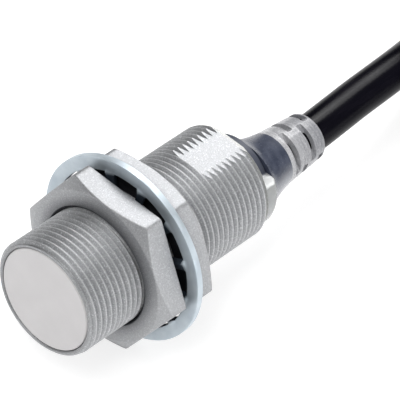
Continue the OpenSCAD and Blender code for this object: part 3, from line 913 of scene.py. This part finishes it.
def make_end_cap():
    """The clear end cap: a plug with an O-ring groove, and a round flange with an ear on each side."""
    low, high = FLANGE_LOW, FLANGE_HIGH
    plug_r, bore, ear_r, core_r, ear, corner = MAIN_BORE_R - 0.1, 5.75, high.y, 6.1, 3.6, 0.8
    face = SLEEVE_END + 0.05
    ring_x, ring_half, floor_r = SLEEVE_END - 3, 0.65, 6.1
    rings = []
    for i in range(288):
        angle = math.tau * i / 288
        r = min(ear_r, max(core_r, ear / max(abs(math.sin(angle)), 1e-6)))
        edge = max(r - ear_r + corner, 0.12)
        outline = [
            (low.x, bore),
            (low.x, plug_r),
            (ring_x - ring_half, plug_r),
            (ring_x - ring_half, floor_r),
            (ring_x + ring_half, floor_r),
            (ring_x + ring_half, plug_r),
            (face, plug_r),
            (face, r),
            (high.x - edge, r),
            (high.x, r - edge),
            (high.x, bore),
        ]
        rings.append([around(x, s, angle) for x, s in soften(outline, 0.18)])
    piece("end_cap_clear", *loops(rings), BODY, "clear_plastic", "clear_plastic", ["end_cap"], sharp=35)


def flare(grow):
    """Outline of the dome from the boot back to the end cap, as (x, radius)."""
    knots = [
        (BOOT_X, CABLE_R + 1 + grow),
        (BOOT_X - 1.5, CABLE_R + 1.25 + grow),
        (BOOT_X - 3.2, CABLE_R + 1.7 + grow),
        (BOOT_X - 4.8, CABLE_R + 2.3 + grow),
        (DOME_X, CABLE_R + 3.1 + grow),
    ]
    return [tuple(p) for p in flow([Vector(k) for k in knots], 4)]


def make_dome():
    """The dark dome that grips the cable, seen through the boot's clear skirt."""
    hole = CABLE_R + 0.08
    outline = [(DOME_X, hole), (BOOT_X, hole), *flare(0.28)]
    piece(
        "dark_dome",
        *revolved(outline, (EXIT_Y, EXIT_Z), 96),
        BODY,
        "dark_plastic",
        "dark_plastic",
        ["cable_clamp"],
        sharp=40,
    )


def make_skirt():
    """The clear skirt of the boot, over the dome."""
    at = (EXIT_Y, EXIT_Z)
    outline = [*reversed(flare(0.3)), *flare(0.4)]
    skirt = piece("boot_skirt", *revolved(outline, at), BODY, "clear_skirt", "clear_boot", sharp=40)
    return skirt


def make_boot():
    """The milky part of the strain relief: a tapered sleeve with staggered slots."""
    hole, end_r, start = CABLE_R + 0.08, 3.75, BOOT_X + 0.02
    outline = [
        (start, hole),
        (BOOT_END, hole),
        (BOOT_END, end_r - 0.25),
        (BOOT_END - 0.08, end_r - 0.08),
        (BOOT_END - 0.25, end_r),
        (BOOT_X + 0.6, CABLE_R + 1.3),
        (start, CABLE_R + 1.36),
    ]
    at = (EXIT_Y, EXIT_Z)
    boot = piece("boot", *revolved(outline, at), None, "clear_boot", None, weighted=False)
    for i in range(4):
        for s in (0, math.pi):
            turn = math.radians(45 + 90 * (i % 2)) + s
            x = BOOT_X + 1.5 + 1.85 * i
            carve(boot, box_tool((x - 0.55, -6, 2.75), (x + 0.55, 6, 8), turn, (0, EXIT_Y, EXIT_Z), 0.15))
    boot.data.materials.clear()
    boot.data.materials.append(MATERIALS["clear_boot"])
    shade(boot, 35)
    boot.modifiers.new("even_normals", "WEIGHTED_NORMAL").keep_sharp = True
    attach(boot, BODY)
    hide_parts("strain_relief")


# ---------------------------------------------------------------- hank ties and free cores


def gather(parts):
    """Several (points, faces) as one."""
    points, faces = [], []
    for more_points, more_faces in parts:
        faces += [tuple(i + len(points) for i in face) for face in more_faces]
        points += more_points
    return points, faces


def slab(low, high, soft):
    """A block with rounded edges, as rings along X."""
    y0, z0, y1, z1 = low[1], low[2], high[1], high[2]

    def ring(x, inset):
        left, right = y0 + inset, y1 - inset
        low, high = z0 + inset, z1 - inset
        corners = [(left, low), (right, low), (right, high), (left, high)]
        return [(x, y, z) for y, z in soften(corners, soft)]

    rings = [ring(low[0], soft), ring(low[0] + 0.3 * soft, 0.3 * soft), ring(low[0] + soft, 0)]
    rings += [ring(high[0] - soft, 0), ring(high[0] - 0.3 * soft, 0.3 * soft), ring(high[0], soft)]
    points, faces = loops(rings, closed_way=False)
    m = len(rings[0])
    return points, [*faces, tuple(range(m)), tuple(range(len(points) - m, len(points)))]


def tie_band(x, width, low, high, thick, corner):
    """A strap round a bundle: low and high are the (y, z) corners of its inside."""
    path = []
    for cy, cz, start in (
        (high[0] - corner, high[1] - corner, 0),
        (low[0] + corner, high[1] - corner, 90),
        (low[0] + corner, low[1] + corner, 180),
        (high[0] - corner, low[1] + corner, 270),
    ):
        for k in range(7):
            a = math.radians(start + 15 * k)
            path.append((cy, cz, math.cos(a), math.sin(a)))
    section = soften([(-width / 2, 0), (width / 2, 0.001), (width / 2, thick), (-width / 2, thick)], 0.2)
    return loops(
        [[(x + s, cy + c * (corner + t), cz + n * (corner + t)) for s, t in section] for cy, cz, c, n in path]
    )


def make_ties():
    """Two cable ties round the hank, each with its head and trimmed tail inside the hank's eye."""
    low, high = span("hank_ties")
    x, width, thick = (low.x + high.x) / 2, high.x - low.x, 0.8
    inside_z = (low.z + thick, high.z - thick)
    parts = []
    for s in (-1, 1):
        ys = sorted((HANK_Y + s * (ROW_IN - CABLE_R - 0.1), HANK_Y + s * (ROW_OUT + CABLE_R + 0.1)))
        parts.append(tie_band(x, width, (ys[0], inside_z[0]), (ys[1], inside_z[1]), thick, CABLE_R + 0.1))
        face = HANK_Y + s * (ROW_IN - CABLE_R - 0.1)
        y0, y1 = sorted((face, face - s * 4.6))
        z = 2.0
        parts.append(slab((x - 3.1, y0, z - 2.6), (x + 3.1, y1, z + 2.6), 0.5))
        y0, y1 = sorted((face - s * 2.4, face - s * 3.5))
        parts.append(slab((x - width / 2, y0, z - 9), (x + width / 2, y1, z + 1), 0.25))
    return piece("ties", *gather(parts), BODY, "tie_plastic", "tie_plastic", ["hank_ties"], sharp=35)


def core_path(i):
    """Where one free core lies: out of the jacket's end, down to the floor and gently apart."""
    y = TAIL_END[1]
    z = FLOOR_Z + 0.62
    knots = [
        (93, y + 0.9 * i, FLOOR_Z + CABLE_R),
        (90.5, y + 1.3 * i, FLOOR_Z + CABLE_R - 0.2),
        (86, y + 0.4 + 1.7 * i, FLOOR_Z + 1.7),
        (80, y + 0.9 + 2.3 * i, z),
        (75, y + 1.6 + 2.5 * i + 0.3 * math.cos(2.1 * i), z),
        (70, y + 2 + 3 * i, z),
    ]
    return flow([Vector(k) for k in knots], 5)


def make_cores():
    """Three insulated cores and their twisted, tinned strands."""
    made, strands = [], []
    for i, name in ((-1, "brown"), (0, "blue"), (1, "black")):
        path = core_path(i)
        node = "free_" + name
        paint = name + "_insulation"
        made.append(piece("core_" + name, *sweep(path, 0.6), BODY, paint, paint, [node], sharp=60))
        start = path[-1] + Vector((0.6, 0, 0))
        end = Vector((64, path[-1].y + 0.4 * i, FLOOR_Z + 0.45))
        for k in range(7):
            line = []
            for t in [n / 24 for n in range(25)]:
                turn = math.tau * (k / 6 + 1.6 * t)
                out = 0 if k == 6 else 0.26
                middle = start.lerp(end, t)
                line.append(middle + Vector((0, out * math.cos(turn), out * math.sin(turn))))
            strands.append(sweep(line, 0.14, 6))
    made.append(
        piece("tinned_strands", *gather(strands), BODY, "tinned_copper", "solder", ["tinned_ends"], sharp=60)
    )
    return made


# ---------------------------------------------------------------- inner parts that keep their CAD shape


INNER = {
    "ferrite_core": "ferrite",
    "coil_bobbin": "bobbin_plastic",
    "coil_winding": "copper_wire",
    "coil_leads": "copper_wire",
    "core_holder": "holder_plastic",
    "shield_film": "copper_foil",
    "potting_resin": "resin",
    "circuit_board": "board",
    "sensor_ic": "chip_plastic",
    "output_transistor": "chip_plastic",
    "zener_diode": "diode_glass",
    "capacitors": "ceramic",
    "resistors": "chip_plastic",
    "indicator_leds": "led_resin",
    "solder_joints": "solder",
    "o_ring": "black_rubber",
    "wire_brown": "brown_insulation",
    "wire_blue": "blue_insulation",
    "wire_black": "black_insulation",
}


def paint_inner():
    for name, paint in INNER.items():
        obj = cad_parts[name]
        obj.data.materials.clear()
        obj.data.materials.append(MATERIALS[paint])


# ---------------------------------------------------------------- build


make_camera()
make_studio()
cable = make_cable()
ties = make_ties()
cores = make_cores()
make_sleeve()
make_face()
make_nut("nut_front", "front_nut", "front_nut", -1)
make_nut("nut_rear", "rear_nut", "rear_nut", 1)
make_washer()
make_end_cap()
make_dome()
make_skirt()
make_boot()
paint_inner()
